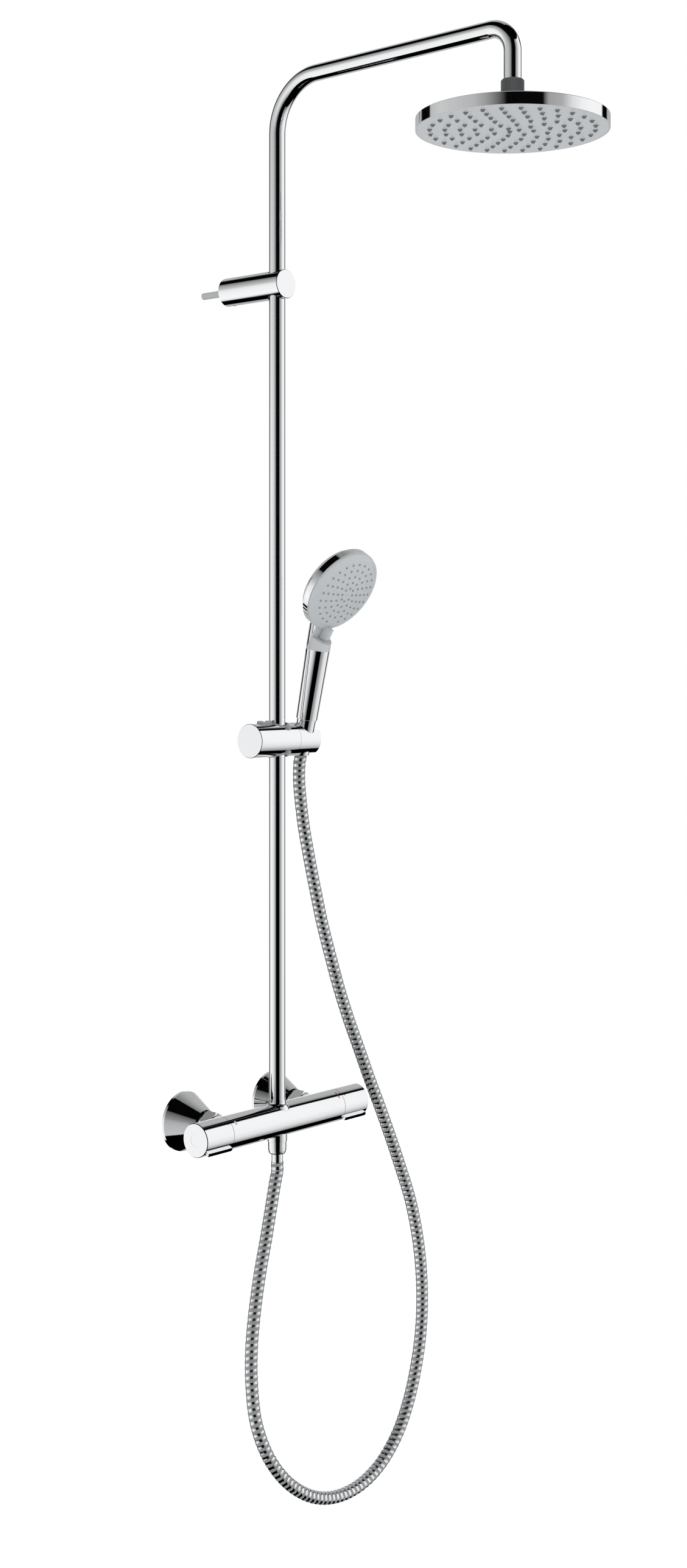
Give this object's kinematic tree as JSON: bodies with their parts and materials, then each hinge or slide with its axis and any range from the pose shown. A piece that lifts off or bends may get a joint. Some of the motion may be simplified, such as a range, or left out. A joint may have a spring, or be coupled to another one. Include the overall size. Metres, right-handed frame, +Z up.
{
  "type": "rainfall shower column",
  "caption": "Chrome shower column: thermostatic bar, riser with swivel arm, round overhead head, sliding holder and hand shower on a coiled metal hose.",
  "frame": {"origin": "on the wall plane, midway between the two water inlets, at the height of the bar's axis", "axes": "+X along the bar towards the temperature handle, +Y into the wall, +Z up the riser"},
  "size_m": [0.3554, 0.554, 1.6499],
  "materials": {
    "chrome": "polished chrome",
    "chromed_plastic": "chromed plastic",
    "brass": "turned brass",
    "steel": "stainless steel",
    "copper": "copper capsule",
    "ceramic": "ground ceramic",
    "white_plastic": "low-friction plastic",
    "green_plastic": "moulded plastic",
    "plug_plastic": "nylon",
    "dark_plastic": "moulded plastic",
    "ribbed_grey_plastic": "satin plastic",
    "grey_plastic": "satin plastic",
    "light_grey_plastic": "satin plastic",
    "face_plastic": "satin plastic",
    "grey_rubber": "silicone",
    "light_rubber": "silicone",
    "black_rubber": "rubber",
    "hose_metal": "coiled metal strip"
  },
  "bodies": {
    "column": {"s_unions": "brass", "wall_roses": "chrome", "union_nuts": "chrome", "inlet_nipples": "brass", "strainer_washers": "black_rubber", "check_valves": "green_plastic", "thermostat_body": "chrome", "thermostat_cartridge": "dark_plastic", "return_spring": "steel", "diverter_cartridge": "dark_plastic", "diverter_fixed_disc": "ceramic", "riser_pipe": "chrome", "pipe_o_rings": "black_rubber", "grub_screws": "steel", "bracket_sleeve": "chrome", "bracket_cap": "chrome", "bracket_wall_mount": "steel", "bracket_screw": "steel", "wall_plug": "plug_plastic", "bracket_bush": "dark_plastic", "hose_nut": "chrome", "hose_washer": "black_rubber", "hose_ferrule": "chrome", "hose": "hose_metal"},
    "temperature": {"temperature_handle": "chrome", "temperature_spindle": "brass", "temperature_screw": "steel", "temperature_plug": "chrome"},
    "regulator": {"wax_element": "copper", "regulating_piston": "white_plastic"},
    "diverter": {"diverter_handle": "chrome", "diverter_spindle": "brass", "diverter_turning_disc": "ceramic", "diverter_screw": "steel", "diverter_plug": "chrome"},
    "arm": {"shower_arm": "chrome", "head_union_nut": "ribbed_grey_plastic", "head_ball": "chrome", "head_strainer": "black_rubber"},
    "head_tilt": {"ball_seat": "white_plastic"},
    "head": {"head_shell": "chrome", "head_back_plate": "dark_plastic", "head_nozzle_mat": "grey_rubber", "head_face": "face_plastic"},
    "glide": {"grip_sleeve": "dark_plastic"},
    "slider": {"slider_body": "chrome", "slider_cap": "chrome", "slider_bush": "grey_plastic", "holder_screw": "steel", "brake_spring": "steel"},
    "shoe": {"brake_shoe": "dark_plastic"},
    "button": {"release_button": "grey_plastic"},
    "holder": {"holder": "chrome"},
    "handset": {"handset_shell": "chromed_plastic", "handset_trim": "light_grey_plastic", "handset_strainer": "black_rubber", "hose_cone_nut": "chrome"},
    "face": {"handset_face": "light_grey_plastic", "handset_nozzles": "light_rubber"}
  },
  "joints": [
    {"name": "temperature_turn", "type": "hinge", "parent": "column", "child": "temperature", "pos_m": [0.12, -0.0785, 0], "axis": [1, 0, 0], "range_deg": [-90, 170]},
    {"name": "regulator_slide", "type": "slide", "parent": "column", "child": "regulator", "axis": [1, 0, 0], "range_m": [-0.0016, 0.0009], "deforming": ["return_spring"]},
    {"name": "diverter_turn", "type": "hinge", "parent": "column", "child": "diverter", "pos_m": [-0.11, -0.0785, 0], "axis": [1, 0, 0], "range_deg": [-90, 90]},
    {"name": "arm_swing", "type": "hinge", "parent": "column", "child": "arm", "pos_m": [0, -0.0785, 0.95], "axis": [0, 0, 1], "range_deg": [-60, 60]},
    {"name": "head_tilt_front", "type": "hinge", "parent": "arm", "child": "head_tilt", "pos_m": [0, -0.412, 1.1133], "axis": [1, 0, 0], "range_deg": [-12, 12]},
    {"name": "head_tilt_side", "type": "hinge", "parent": "head_tilt", "child": "head", "pos_m": [0, -0.412, 1.1133], "axis": [0, 1, 0], "range_deg": [-12, 12]},
    {"name": "slider_height", "type": "slide", "parent": "column", "child": "glide", "axis": [0, 0, 1], "range_m": [-0.24, 0.45], "deforming": ["hose"]},
    {"name": "slider_swing", "type": "hinge", "parent": "glide", "child": "slider", "pos_m": [0, -0.0785, 0.4385], "axis": [0, 0, 1], "range_deg": [-60, 60], "deforming": ["hose"]},
    {"name": "brake_slide", "type": "slide", "parent": "slider", "child": "shoe", "axis": [-1, 0, 0], "range_m": [0, 0.001], "deforming": ["brake_spring"]},
    {"name": "release_press", "type": "slide", "parent": "slider", "child": "button", "axis": [0, 0, -1], "range_m": [0, 0.002], "stiffness_N_per_m": 800, "springref_m": -0.001},
    {"name": "holder_tilt", "type": "hinge", "parent": "slider", "child": "holder", "pos_m": [0.02, -0.0785, 0.4385], "axis": [1, 0, 0], "range_deg": [-10, 30], "deforming": ["hose"]},
    {"name": "handset_lift", "type": "slide", "parent": "holder", "child": "handset", "axis": [0, -0.2096, 0.9778], "range_m": [0, 0.04], "deforming": ["hose"]},
    {"name": "spray_selector", "type": "hinge", "parent": "handset", "child": "face", "pos_m": [0.039, -0.14646, 0.60824], "axis": [0, -0.8415, -0.5402], "range_deg": [-28, 28]}
  ],
  "couplings": [
    {"joint": "regulator_slide", "follows": "temperature_turn", "m_per_rad": -0.0005},
    {"joint": "brake_slide", "follows": "release_press", "ratio": 0.5}
  ]
}
